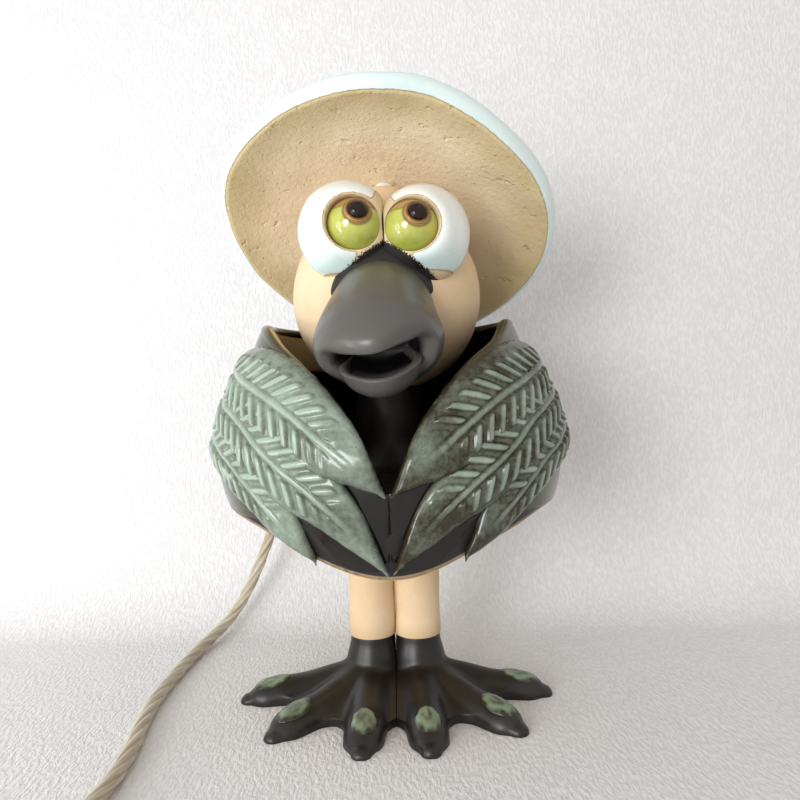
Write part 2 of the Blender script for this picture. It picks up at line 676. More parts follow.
class BELL_OT_cape(bpy.types.Operator):
    """Build the cape, its rolled collar and the pressed pattern on its back"""
    bl_idname = "bird_bell.cape"
    bl_label = "Cape"

    def execute(self, context):
        points, barbs, inside = cape_points()
        round_back = np.degrees(np.arctan2(np.abs(points[..., 0]), -points[..., 1]))
        below_rim = RIM - points[..., 2]
        pool = 0.02 + 0.5 * smooth(30.0, 75.0, round_back) * smooth(1.0, 9.0, below_rim)
        pool += 0.9 * barbs + 0.2 * wobble(points, 22.0, 6)
        bare = inside * smooth(1.5, 3.0, below_rim) * smooth(17.0, 12.0, below_rim)
        bare *= smooth(30.0, 42.0, round_back) * smooth(10.0, 0.0, points[..., 0])
        black = np.maximum(inside * (1.0 - bare), smooth(32.0, 24.0, round_back))
        loop = np.swapaxes(points, 0, 1)
        piece = surface("cape_glazed", loop, pool=pool.T, glaze=1.0 - bare.T, toast=0.6, black=black.T)
        place(piece, "cape", "bell", kept("cape glaze", cape_part_finish))
        return {"FINISHED"}


def cape_part_finish(name):
    return part_glazed(name, "feather_thin", "cape_pooled", 0.6, 0.4, 0.5, 180.0, 0.4, (0.35, 0.16, 0.04, 1))


# ---- feathers ------------------------------------------------------------------------------------
# Midrib as (degrees round from the front, rise above the ceiling), root first; half width; how far the
# face stands proud of the bell's outermost surface; half width of the leaf at each midrib point.
FEATHERS = {
    "upper": ([(74, 38.5), (60, 35), (49, 32), (28.5, 24), (13, 12.8), (0.7, 1.2)], 11.0, 0.6),
    "middle": ([(80, 31.5), (64, 26.5), (48, 21.3), (30, 9.3), (16, -2.2), (0.7, -21.2)], 10.8, -0.3),
    "lower": ([(88, 20), (76, 17.5), (62, 13.5), (47.8, 7), (34, -5.8), (23.0, -18.6)], 9.8, -1.2),
}
LEAF_SHARE = [0.5, 0.82, 0.98, 1.0, 0.70, 0.02]


def feather_chart(name, along, across):
    """Angle and height on the bell's side for a share along the midrib and a distance across it in mm."""
    midrib, half_width = FEATHERS[name][:2]
    degrees, rise = np.array(midrib, float).T
    arc = np.radians(degrees) * UNROLLED_R
    run = np.concatenate([[0], np.cumsum(np.hypot(np.diff(arc), np.diff(rise)))])
    s = along * run[-1]
    arc_at, rise_at = cubic(run, arc, s), cubic(run, rise, s)
    step = 0.5
    d_arc = cubic(run, arc, np.minimum(s + step, run[-1])) - cubic(run, arc, np.maximum(s - step, 0))
    d_rise = cubic(run, rise, np.minimum(s + step, run[-1])) - cubic(run, rise, np.maximum(s - step, 0))
    length = np.hypot(d_arc, d_rise)
    half = half_width * cubic(run, LEAF_SHARE, s)
    reach = across * half
    arc_at = arc_at + reach * d_rise / length
    rise_at = rise_at - reach * d_arc / length
    return arc_at / UNROLLED_R, rise_at, s, reach, half, run[-1]


def barb_relief(s, reach, half, length, spacing):
    """Raised slanting barbs, one row each side of a quill that runs in a groove.

    Each barb is a long ellipse: a cosine across it, squeezed to nothing at its two ends, and leaning
    towards the tip as it leaves the quill."""
    lateral = np.abs(reach)
    offset = np.where(reach > 0, 0.0, 0.5)
    phase = (s - lateral * 0.95) / spacing + offset
    local = phase - np.floor(phase) - 0.5
    span = np.clip((lateral - 0.9) / np.maximum(half * 0.78 - 0.9, 0.6), 0.0, 1.0)
    width = 0.42 * np.sqrt(np.clip(1.0 - np.abs(2.0 * span - 1.0) ** 3, 0.0, 1.0)) + 0.02
    barb = smooth(1.0, 0.2, np.abs(local) / width) * smooth(0.0, 0.15, span) * smooth(1.0, 0.8, span)
    quill = smooth(0.95, 0.3, lateral) - 0.6 * smooth(0.7, 1.1, lateral) * smooth(2.0, 1.2, lateral)
    ends = smooth(0.02, 0.1, s / length) * smooth(0.84, 0.66, s / length)
    return barb * ends, quill * smooth(0.9, 0.7, s / length)


def feather_points(name, side, rows, columns):
    """Leaf slab on the bell's side: the face with its relief, rounded edges, and a plain underside."""
    proud = FEATHERS[name][2]
    along = np.linspace(0, 1, rows)[:, None]
    half_count = columns // 2
    ease = np.sin(np.linspace(-0.5, 0.5, half_count) * math.pi)
    over = 0.35 * ease + 0.65 * np.linspace(-1, 1, half_count)
    across = np.concatenate([over, np.linspace(1, -1, half_count)[1:-1]])
    angle, rise, s, reach, half, length = feather_chart(name, along, across[None, :])
    barb, quill = barb_relief(s, reach, half, length, in_mm("barb_spacing"))
    inset = half * (1.0 - np.abs(across[None, :]))
    ragged = 0.25 * np.sin(2 * math.pi * s / in_mm("barb_spacing"))
    crown = np.sqrt(np.clip(1.0 - (1.0 - np.clip(inset / 2.2, 0, 1)) ** 2, 0, 1))
    tip = smooth(1.0, 0.975, along)
    relief = in_mm("barb_height") * barb + 0.35 * quill
    bow = 0.9 * smooth(0.0, 1.0, inset / np.maximum(half, 0.5)) * smooth(1.0, 0.7, along)
    lift = 1.2 * smooth(0.7, 1.0, along)
    face = proud + lift + (relief + bow) * crown
    under = proud + lift - 2.2 * tip - 0.2
    top = np.arange(len(across)) < half_count
    offset = np.where(top[None, :], under + (face - under) * np.maximum(crown, 0.0), under)
    z = CEILING + rise + ragged * smooth(2.0, 0.0, inset) * 0.3
    uneven = 0.3 * settings().hand_wobble * wobble(stacked(s, reach, 0 * s + side), 9.0, 31)
    radius = side_radius(z) + offset + uneven
    points = stacked(side * radius * np.sin(angle), -radius * np.cos(angle), z)
    outline = 4.0 * barb * (1.0 - barb)
    pool = 0.30 + 0.52 * barb - 0.30 * outline + 0.30 * np.clip(quill, -0.6, 1) - 0.30 * (1.0 - crown)
    pool = np.where(top[None, :], pool + 0.16 * wobble(stacked(s, reach, 0 * s + 5 * side), 16.0, 33), 0.0)
    return points, pool


class BELL_OT_feathers(bpy.types.Operator):
    """Build the six pressed feathers, each lying over the one below it"""
    bl_idname = "bird_bell.feathers"
    bl_label = "Feathers"

    def execute(self, context):
        rows = settings().feather_rows
        for word, side in SIDES:
            for name in FEATHERS:
                points, pool = feather_points(name, side, rows, rows // 2)
                node = "feather_%s_%s" % (word, name)
                leaf = surface(node + "_pressed", points, pool=pool + (0.20 if side < 0 else -0.12))
                place(leaf, node, "bell", kept("feather glaze", feather_finish))
        return {"FINISHED"}


# ---- head, eyes and beak -------------------------------------------------------------------------
class BELL_OT_head(bpy.types.Operator):
    """Build the bare clay head, with the clay pad on its crown that the hat is luted to"""
    bl_idname = "bird_bell.head"
    bl_label = "Head"

    def execute(self, context):
        share, turn = grid(150, 240, 0.01, 0.99)
        lean = share * math.pi
        unit = stacked(np.sin(lean) * np.cos(turn), np.sin(lean) * np.sin(turn), -np.cos(lean))
        radius = HEAD_R - 0.15 + 0.22 * settings().hand_wobble * wobble(unit * HEAD_R, 24.0, 12)
        radius = radius + 5.6 * smooth(0.945, 0.980, unit[..., 2])
        points = HEAD + unit * radius[..., None]
        toast = 0.12 + 0.25 * smooth(-0.2, -0.9, unit[..., 2]) + 0.15 * wobble(points, 40.0, 2)
        piece = surface("head_ball", points, toast=toast)
        place(piece, "head", "bell", kept("bare clay", bare_clay))
        return {"FINISHED"}


def eye_place(side):
    """Middle of an eyeball: the frame's, with the right eye set a little lower than the left."""
    return np.array([side * EYE[0] - 0.2, EYE[1], EYE[2] - (1.6 if side > 0 else 0.6)])


def lobe_points(side):
    """Ellipsoid pushed in to a socket round the eyeball, with a swollen rim round the socket."""
    half = np.array([14.6, 12.0, 15.4])
    middle = np.array([side * 12.0, HEAD[1] - 25.0, HEAD[2] + (15.6 if side > 0 else 17.6)])
    share, turn = grid(150, 200, 0.006, 0.994)
    lean = share * math.pi
    unit = stacked(np.sin(lean) * np.cos(turn), -np.cos(lean) + 0 * turn, np.sin(lean) * np.sin(turn))
    points = middle + unit * half
    eye = eye_place(side)
    away = np.hypot(points[..., 0] - eye[0], points[..., 2] - eye[2])
    front = smooth(0.0, 4.0, middle[1] - points[..., 1])
    socket = smooth(EYE_R - 0.1, EYE_R - 1.0, away) * front
    rim = np.exp(-((away - EYE_R - 1.8) / 3.0) ** 2) * front
    points[..., 1] += 8.0 * socket - 1.2 * rim
    points[..., 0] = np.where(side * points[..., 0] < 0.15, side * 0.15, points[..., 0])
    points += (unit * half / 13.0) * (0.25 * wobble(points, 12.0, 20 + int(side)))[..., None]
    return points, away


class BELL_OT_eyes(bpy.types.Operator):
    """Build the white lobes, the eyeballs, the pupils and their rings"""
    bl_idname = "bird_bell.eyes"
    bl_label = "Eyes"

    def execute(self, context):
        for word, side in SIDES:
            self.lobe(word, side)
            self.eyeball(word, side)
            self.pupil(word, side)
        return {"FINISHED"}

    def lobe(self, word, side):
        points, away = lobe_points(side)
        across, rise = np.abs(points[..., 0]), points[..., 2] - HEAD[2]
        glaze = smooth(EYE_R - 0.6, EYE_R + 1.5, away)
        glaze *= smooth(-0.6, 1.6, across - 1.5 - 0.3 * np.maximum(28.5 - rise, 0.0))
        glaze *= smooth(2.6, 4.6, rise)
        pool = 0.05 + 0.85 * smooth(12.0, 5.0, rise)
        black = smooth(3.4, -2.2, rise - 12.2 + 0.72 * across)
        piece = surface("eye_lobe_%s_glazed" % word, points, glaze=glaze, pool=pool, toast=0.35, black=black)
        place(piece, "eye_lobe_" + word, "bell", kept("eye lobe glaze", lobe_finish))

    def eyeball(self, word, side):
        share, turn = grid(110, 160, 0.006, 0.994)
        lean = share * math.pi
        unit = stacked(np.sin(lean) * np.cos(turn), -np.cos(lean) + 0 * turn, np.sin(lean) * np.sin(turn))
        points = eye_place(side) + unit * EYE_R
        pupil = pupil_place(side)
        from_pupil = np.linalg.norm(points - pupil, axis=-1)
        drop = unit[..., 2] * EYE_R
        boundary = smooth(4.9, 3.4, drop + 0.05 * unit[..., 0] * EYE_R)
        glaze = boundary * smooth(4.0, 4.5, from_pupil)
        line = np.exp(-((from_pupil - 4.35) / 0.35) ** 2) * 0.8
        line = np.maximum(line, np.exp(-((drop - 4.15) / 0.35) ** 2) * smooth(4.0, 5.0, from_pupil) * 0.7)
        pool = 0.75 - 0.5 * smooth(-1.5, -7.0, drop)
        piece = surface("eyeball_%s_glazed" % word, points, glaze=glaze, line=line, pool=pool)
        place(piece, "eyeball_" + word, "bell", kept("eye glaze", eye_finish))

    def pupil(self, word, side):
        share, turn = grid(40, 72, 0.01, 0.99)
        lean = share * math.pi
        reach = PUPIL_R * np.sin(lean)
        local = stacked(reach * np.cos(turn), reach * np.sin(turn), -1.9 * np.cos(lean))
        piece = surface("pupil_%s_drop" % word, pupil_place(side) + onto_look(local))
        place(piece, "pupil_" + word, "bell", kept("pupil glaze", pupil_finish))
        ring_turn = np.linspace(0, 2 * math.pi, 90, endpoint=False)[:, None]
        tube = np.linspace(0, 2 * math.pi, 20, endpoint=False)[None, :]
        reach = 3.25 + 0.6 * np.cos(tube)
        local = stacked(reach * np.cos(ring_turn), reach * np.sin(ring_turn), -0.35 + 0.5 * np.sin(tube))
        pool = 0.2 + 0.9 * smooth(0.2, 1.0, np.cos(tube)) + 0 * ring_turn
        points = pupil_place(side) + onto_look(local)
        piece = surface("pupil_ring_%s_line" % word, points, ring=True, pool=pool)
        place(piece, "pupil_ring_" + word, "bell", kept("ring glaze", ring_finish))


LOOK = np.array([0.2, -0.90, 0.32]) / np.linalg.norm([0.2, -0.90, 0.32])
PUPIL_R = 2.8


def pupil_place(side):
    return eye_place(side) + LOOK * EYE_R


def onto_look(local):
    """Local points with Z along the bird's look, turned into the bird's frame."""
    across = np.cross([0, 0, 1.0], LOOK)
    across /= np.linalg.norm(across)
    up = np.cross(LOOK, across)
    return local[..., :1] * across + local[..., 1:2] * up + local[..., 2:] * LOOK


# Rings of the upper beak from its root in the head to its lip and back into the mouth. Each ring has
# eight points (sideways, ahead of the head's middle, above it): top, then down the bird's +X side,
# bottom, and up the other side.
BEAK_RINGS = [
    [(-1, 20, 3), (3, 20, 2), (5, 20, -6), (4, 20, -14), (-1, 20, -18), (-6, 20, -14), (-7, 20, -6),
     (-5, 20, 2)],
    [(-1, 29, 6.6), (9.5, 28, 3.5), (14.6, 26, -8), (11, 24, -22), (-1, 22, -28), (-13, 24, -22),
     (-16.8, 26, -8), (-11.4, 28, 3.5)],
    [(-1.2, 33.5, 6.2), (9.2, 33, 2.2), (15.2, 32, -10), (12, 30, -24.5), (-1.2, 29, -30.2),
     (-14.4, 30, -24.5), (-18, 32, -10), (-11.4, 33, 2.2)],
    [(-1.6, 42, 2), (8.6, 40.5, -2), (16, 39, -13.5), (12.6, 36.5, -26), (-1.8, 35, -31.8),
     (-16, 36.5, -26), (-19.4, 39, -13.5), (-12, 40.5, -2)],
    [(-2, 51, -5), (8.8, 48, -7), (16.4, 44.5, -16.5), (12.6, 41, -27), (-2, 39, -32.4),
     (-16.2, 41, -27.5), (-20.2, 44.5, -17.5), (-12.6, 48, -7.4)],
    [(-2.2, 58.5, -12.6), (9, 54.5, -11.4), (15.4, 48.5, -18.5), (12.2, 44.5, -26.5), (-2, 41.5, -31.6),
     (-15.6, 44.5, -27.6), (-19.6, 48.5, -20.5), (-13, 54.5, -13.2)],
    [(-2.4, 62.2, -20), (7.6, 57.6, -15.8), (13.4, 51.4, -18.4), (11.6, 46.6, -26.2), (-2, 43.2, -30.6),
     (-15.2, 46.4, -27.4), (-17.8, 51, -22.2), (-12.4, 57.6, -20)],
    [(-2.4, 61.2, -23.2), (6.2, 56.8, -19.6), (10.6, 51.6, -18.6), (10, 47.2, -25.2), (-2, 44, -29.4),
     (-13.6, 47, -26.6), (-15.2, 51, -22.4), (-10.6, 56.8, -22.8)],
    [(-2.2, 57, -21), (4.8, 53, -18.2), (8.4, 48.5, -18.4), (8, 44.5, -23.6), (-2, 42, -27.2),
     (-11.6, 44.5, -24.6), (-13, 48, -21.6), (-8.8, 53, -20.8)],
    [(-2, 46, -17), (3.4, 44, -16.4), (5.6, 42, -17.6), (4.8, 40, -21.4), (-2, 39, -23.6), (-8, 40, -22),
     (-9, 42, -18.8), (-6.4, 44, -17.2)],
    [(-2, 40, -18), (-0.8, 39.8, -18.4), (0, 39.4, -19.4), (-0.8, 39, -20.4), (-2, 38.8, -20.8),
     (-3.2, 39, -20.4), (-4, 39.4, -19.4), (-3.2, 39.8, -18.4)],
]


def lofted(rings, rows, columns):
    """Smooth skin over rings of points, a closed cubic round each ring and then a cubic from ring to
    ring, and the number of the ring that each row lies at."""
    rings = np.array(rings, float)
    count = rings.shape[1]
    wrapped = np.concatenate([rings[:, -2:], rings, rings[:, :3]], axis=1)
    around = np.linspace(0, count, columns, endpoint=False)
    closed = np.stack([cubic(np.arange(-2, count + 3), ring, around) for ring in wrapped])
    spread = np.linalg.norm(np.diff(closed, axis=0), axis=-1).mean(axis=1)
    run = np.concatenate([[0], np.cumsum(spread)])
    s = np.linspace(0, run[-1], rows)
    return cubic(run, closed, s), np.interp(s, run, np.arange(len(rings)))[:, None]


def from_head(points):
    """Points given as (sideways, ahead of, above) the head's middle, in the bird's frame."""
    return stacked(points[..., 0], HEAD[1] - points[..., 1], HEAD[2] + points[..., 2])


def jaw_points():
    """Scoop: a bowl whose outer and inner skins meet in a round lip, stretched forward and tipped down.

    The share runs from the outer skin's lowest point, out to the lip and in to the inner skin's
    lowest point; the skins are half ellipsoids a wall apart."""
    t = np.linspace(0.01, 0.99, 120)[:, None]
    turn = np.linspace(0, 2 * math.pi, 160, endpoint=False)[None, :]
    outer = t < 0.5
    lean = np.where(outer, t, 1.0 - t) * math.pi
    wall = np.where(outer, 1.0, 0.80)
    lip = np.exp(-((t - 0.5) / 0.045) ** 2)
    reach = np.sin(lean) * (wall + 0.035 * lip)
    x = 11.2 * reach * np.cos(turn)
    y = -13.5 * reach * np.sin(turn)
    pinch = 1.0 - 0.16 * smooth(4.0, 13.0, -y)
    z = np.where(outer, -8.6, -6.0) * np.cos(lean) + 0.9 * lip
    points = stacked(x * pinch, y, z)
    points = turned(turned(points, 26.0, 0), -8.0, 1)
    return points + np.array([-1.4, HEAD[1] - 46.6, HEAD[2] - 24.8]), smooth(0.54, 0.60, t)


class BELL_OT_beak(bpy.types.Operator):
    """Build the hooded upper beak, the lower jaw and the dark saddle above them"""
    bl_idname = "bird_bell.beak"
    bl_label = "Beak"

    def execute(self, context):
        finish = kept("beak glaze", beak_finish)
        skin, ring = lofted(BEAK_RINGS, 220, 240)
        points = from_head(skin)
        points += 0.12 * settings().hand_wobble * wobble(points, 14.0, 41)[..., None]
        rise = points[..., 2] - HEAD[2]
        pool = 0.75 * smooth(-14.0, 6.0, rise) * smooth(-60.0, -40.0, points[..., 1]) + 0.05
        piece = surface("beak_upper_glazed", points, pool=pool, black=smooth(7.2, 8.0, ring))
        place(piece, "beak_upper", "bell", finish)
        skin, inside = jaw_points()
        jaw = surface("beak_lower_glazed", skin, pool=0.05, black=inside)
        place(jaw, "beak_lower", "bell", finish)
        self.saddle()
        return {"FINISHED"}

    def saddle(self):
        """Thin pad on the head ball under the eyes: a patch of the ball's own skin, thickened."""
        share, turn = grid(60, 160, 0.01, 0.99)
        lean = share * math.pi
        across, up = 15.8 * np.sin(lean) * np.cos(turn), 7.4 * np.sin(lean) * np.sin(turn)
        x, z = across - 1.0, up + 5.2 - 0.028 * across ** 2
        depth = np.sqrt(np.maximum(HEAD_R ** 2 - x ** 2 - z ** 2, 0.0))
        points = stacked(x, HEAD[1] - depth - 3.0 * np.cos(lean) + 0.6, HEAD[2] + z)
        piece = surface("beak_bridge_glazed", points, pool=0.1)
        place(piece, "beak_bridge", "bell", kept("dark glaze", dark_finish))


# ---- hat -----------------------------------------------------------------------------------------
HAT_R, HAT_HOLLOW, HAT_WALL, HAT_LIP = 55.2, 10.5, 5.5, 3.5
HAT_TIP, HAT_ROLL, HAT_BACK, HAT_RISE, HAT_HOLE_R = 31.0, 9.5, 3.0, 24.2, 3.4


def hat_points():
    """Turned loop: over the dome from the cord hole, round the rolled rim, and back along the hollow.

    Dome and hollow are parabolas; the rim is a half circle. The rim wanders in and out and up and
    down by slow sines, as a slab pressed over a form does."""
    columns = 400
    turn = np.linspace(0, 2 * math.pi, columns, endpoint=False)[None, :]
    share = np.linspace(0.05, 1.0, 90)[:, None] ** 0.9
    crown = HAT_HOLLOW + HAT_WALL
    out_r, out_z = HAT_R * share, crown - (crown - HAT_LIP) * share ** 2
    angle = np.linspace(0.5 * math.pi, -0.5 * math.pi, 24)[1:-1, None]
    rim_r = HAT_R + HAT_LIP * np.cos(angle)
    rim_z = HAT_LIP * np.sin(angle)
    in_share = share[::-1]
    in_r, in_z = HAT_R * in_share, HAT_HOLLOW - (HAT_HOLLOW + HAT_LIP) * in_share ** 2
    radius = np.vstack([out_r, rim_r, in_r]) + 0 * turn
    height = np.vstack([out_z, rim_z, in_z]) + 0 * turn
    part = np.vstack([out_r * 0, rim_r * 0 + (0.5 * math.pi - angle) / math.pi, in_r * 0 + 1.0]) + 0 * turn
    amount = settings().hand_wobble * (radius / HAT_R) ** 2
    radius = radius + amount * (0.7 * np.sin(2 * turn + 0.6) + 0.45 * np.sin(5 * turn + 2.0) - 0.6)
    height = height + amount * (0.7 * np.sin(3 * turn + 1.1) + 0.4 * np.sin(7 * turn))
    local = stacked(radius * np.sin(turn), -radius * np.cos(turn), height)
    uneven = 0.35 * settings().hand_wobble * wobble(local, 16.0, 55)
    local[..., 2] = height + uneven * smooth(0.2, 0.6, radius / HAT_R)
    points = turned(turned(local, -HAT_TIP, 0), HAT_ROLL, 1)
    points = points + np.array([0.0, HEAD[1] + HAT_BACK, HEAD[2] + HAT_RISE])
    return points, part, radius


def bore_hat(points, radius):
    """Draws the innermost ring of the dome and of the hollow onto the upright cord hole."""
    hole = HAT_HOLE_R
    near = smooth(9.0, 3.2, radius)
    flat = points[..., :2]
    middle = points[:1, :, :2].mean(axis=1, keepdims=True)
    spread = flat - middle
    size = np.linalg.norm(spread, axis=-1, keepdims=True)
    shifted = flat - middle * near[..., None]
    aim = spread / np.maximum(size, 0.01) * np.maximum(size, hole)
    points[..., :2] = np.where(near[..., None] > 0, shifted + (aim - spread) * near[..., None], flat)
    return points


class BELL_OT_hat(bpy.types.Operator):
    """Build the tipped-back hat, glazed outside and bare in its hollow"""
    bl_idname = "bird_bell.hat"
    bl_label = "Hat"

    def execute(self, context):
        points, part, radius = hat_points()
        points = bore_hat(points, radius)
        glaze = smooth(1.0, 0.80, part)
        toast = 0.55 * smooth(0.62, 1.02, radius / HAT_R)
        pool = 0.15 + 0.55 * smooth(0.86, 1.0, radius / HAT_R) + 0.15 * wobble(points, 30.0, 9)
        piece = surface("hat_shell", points, ring=True, glaze=glaze, toast=toast, pool=pool, black=0.0)
        place(piece, "hat", "bell", kept("hat clay and glaze", hat_finish))
        return {"FINISHED"}


# ---- legs and feet -------------------------------------------------------------------------------
TOES = {"outer": (45.0, 8.0, 4.6), "middle": (33.5, 30.5, 4.8), "inner": (9.6, 39.5, 4.9)}


class BELL_OT_legs(bpy.types.Operator):
    """Build the two bare clay legs and finish the yoke and the inner cords"""
    bl_idname = "bird_bell.legs"
    bl_label = "Legs"

    def execute(self, context):
        for word, side in SIDES:
            share, turn = grid(90, 96)
            height = ANKLE + share * (LEG_TOP - ANKLE)
            radius = LEG_R + 0.12 + 0.12 * np.sin(share * 9.0 + side)
            x = side * LEG_X + radius * np.sin(turn)
            points = stacked(x, -radius * np.cos(turn), height + 0 * turn)
            push = 0.12 * settings().hand_wobble * wobble(points, 11.0, 60 + int(side))
            points[..., 0] += push * np.sin(turn)
            points[..., 1] -= push * np.cos(turn)
            toast = 0.15 + 0.3 * smooth(0.25, 0.0, share) + 0.2 * smooth(0.5, 1.0, share) + 0 * turn
            piece = surface("leg_%s_clay" % word, points, toast=toast)
            place(piece, "leg_" + word, "clapper", kept("bare clay", bare_clay))
        self.finish_nodes()
        return {"FINISHED"}

    def finish_nodes(self):
        """The yoke and the hidden cords keep their frame meshes and take better materials."""
        for name in ("leg_yoke", "clapper_loop", "stopper_knot", "inner_cord"):
            clay = name == "leg_yoke"
            finish = kept("bare clay", bare_clay) if clay else kept("plain flax", plain_flax)
            for material_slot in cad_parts[name].material_slots:
                material_slot.material = finish


class BELL_OT_feet(bpy.types.Operator):
    """Build the webbed feet with their dipped ankles, and the nail pads"""
    bl_idname = "bird_bell.feet"
    bl_label = "Feet"

    def execute(self, context):
        for word, side in SIDES:
            foot = webbed_foot(word, side)
            place(foot, "foot_" + word, "clapper", kept("dark glaze", dark_finish))
            for name in TOES:
                node = "nail_%s_%s" % (word, name)
                pad = nail_pad(word, name, side)
                place(pad, node, "clapper", kept("nail glaze", nail_finish))
        return {"FINISHED"}


def toe_line(side, name):
    """Start, end and tip radius of a toe, on the floor plan."""
    across, forward, tip_r = TOES[name]
    return np.array([side * LEG_X, 0.0]), np.array([side * across, -forward]), tip_r


def foot_field(points, side):
    """Signed distance-like field of a foot, negative inside: the smooth union of three round toes, a
    round ankle, a heel and a web sheet. The smooth union is -k log(sum(exp(-d / k)))."""
    x, y, z = points[..., 0], points[..., 1], points[..., 2]
    fields = []
    for name in TOES:
        away, radius = toe_axis(points, side, name)
        fields.append(np.linalg.norm(away, axis=-1) - radius)
    ankle = np.hypot(x - side * LEG_X, y)
    flare = 1.3 * smooth(ANKLE - 1.0, ANKLE - 8.0, z)
    fields.append(np.maximum(ankle - LEG_R + 0.1 - flare, z - ANKLE))
    fields.append(np.linalg.norm(points - np.array([side * LEG_X, 3.2, 2.6]), axis=-1) - 8.4)
    fields.append(web_field(x, y, z, side))
    k = 0.9
    total = sum(np.exp(-np.clip(field, -20, 20) / k) for field in fields)
    return -k * np.log(total)


TOE_SHARES = [0.0, 0.35, 0.60, 0.80, 0.93, 1.0]
TOE_RADII = [7.2, 6.3, 5.9, 6.2, 5.3, 3.2]


def toe_axis(points, side, name):
    """Offset of points from a toe's axis, which falls from the ankle to the floor, and the toe's
    radius beside them. The toe narrows, swells at the nail and ends in a point."""
    start, end, tip_r = toe_line(side, name)
    a = np.array([start[0], start[1], 4.4])
    b = np.array([end[0], end[1], 0.4])
    b += (b - a) / np.linalg.norm(b - a) * (tip_r - 0.6)
    ab = b - a
    t = np.clip(((points - a) @ ab) / (ab @ ab), 0.0, 1.0)
    return (points - a - t[..., None] * ab) * np.array([1.0, 1.0, 1.08]), cubic(TOE_SHARES, TOE_RADII, t)


def web_field(x, y, z, side):
    """Web: inside the fan from the midline to the outer toe, up to a scalloped reach, falling from 8 mm
    high at the ankle to 2.4 mm at its edge."""
    dx, dy = side * x - LEG_X, -y
    bearing = np.arctan2(dx, dy)
    reach = np.hypot(dx, dy)
    toes = sorted(math.atan2(TOES[name][0] - LEG_X, TOES[name][1]) for name in TOES)
    lengths = [math.hypot(TOES[name][0] - LEG_X, TOES[name][1]) for name in ("inner", "middle", "outer")]
    limit = np.interp(bearing, toes, np.array(lengths) * 0.86)
    gaps = [toes[0] - (toes[1] - toes[0]) * 0.5] + [(a + b) / 2 for a, b in zip(toes, toes[1:])]
    for gap in gaps:
        limit = limit - 4.5 * np.exp(-((bearing - gap) / 0.17) ** 2)
    inner_edge = -side * x
    sheet = z - 8.0 + 5.6 * smooth(7.0, 33.0, reach)
    outline = np.maximum(reach - limit, (bearing - toes[-1]) * 20.0)
    return np.maximum(np.maximum(sheet, outline), np.maximum(inner_edge, -dy - 3.0))


def webbed_foot(word, side):
    """Foot as rays on the plan, from the ankle's middle to the outline and back under the flat sole.

    Along each ray the foot's top is the highest place where the field is still inside, found on 64
    levels with the crossing between two levels worked out by proportion. The ray's points are then
    spread evenly along its own length, so that the steep ankle and the rounded toes both get theirs."""
    columns, rows, steps = 480, 150, 300
    bearing = np.linspace(-math.pi, math.pi, columns, endpoint=False)
    reach = np.linspace(0.0, 56.0, steps)[:, None]
    x = side * (LEG_X + reach * np.sin(bearing))
    y = -reach * np.cos(bearing)
    levels = np.linspace(0.0, ANKLE, 64)
    field = np.stack([foot_field(stacked(x, y, level + 0 * x), side) for level in levels])
    inside = field < 0
    top = np.where(inside.any(axis=0), len(levels) - 1 - np.argmax(inside[::-1], axis=0), 0)
    low = np.take_along_axis(field, top[None], 0)[0]
    high = np.take_along_axis(field, np.minimum(top + 1, len(levels) - 1)[None], 0)[0]
    height = levels[top] + np.where(high > low, -low / np.maximum(high - low, 1e-6), 0.0) * levels[1]
    covered = inside.any(axis=0) & (side * x > 0.05)
    edge = np.where(covered, np.arange(steps)[:, None], 0).max(axis=0)
    height = np.where(np.arange(steps)[:, None] <= edge, np.clip(height, 0.0, ANKLE), 0.0)
    height = np.where(covered | (np.arange(steps)[:, None] > edge), height, 0.6)
    outline = reach[edge, 0]
    ray = np.minimum(reach, outline[None, :])
    bank = np.hypot(np.diff(ray, axis=0), np.diff(height, axis=0))
    run = np.concatenate([np.zeros((1, columns)), np.cumsum(bank, axis=0)])
    run = run / run[-1] + np.arange(columns) * 2.0
    wanted = np.linspace(0.0, 1.0, rows)[:, None] + np.arange(columns) * 2.0
    flat = run.T.reshape(-1)
    out_r = np.interp(wanted, flat, (ray + 0 * height).T.reshape(-1))
    out_z = np.interp(wanted, flat, height.T.reshape(-1))
    sole = np.linspace(1.0, 0.02, 12)[1:, None]
    ray = np.vstack([out_r, out_r[-1] * sole])
    level = np.vstack([out_z, 0.0 * out_r[-1] * sole])
    points = stacked(side * (LEG_X + ray * np.sin(bearing)), -ray * np.cos(bearing), level)
    push = 0.25 * settings().hand_wobble * wobble(points, 13.0, 70 + int(side))
    points[..., 2] += push * smooth(0.0, 2.0, level) * smooth(ANKLE, 14.0, level)
    pool = 0.10 + 0.5 * smooth(0.2, 0.9, wobble(points, 9.0, 75)) * smooth(8.0, 3.0, level)
    return surface("foot_%s_webbed" % word, points, pool=pool)


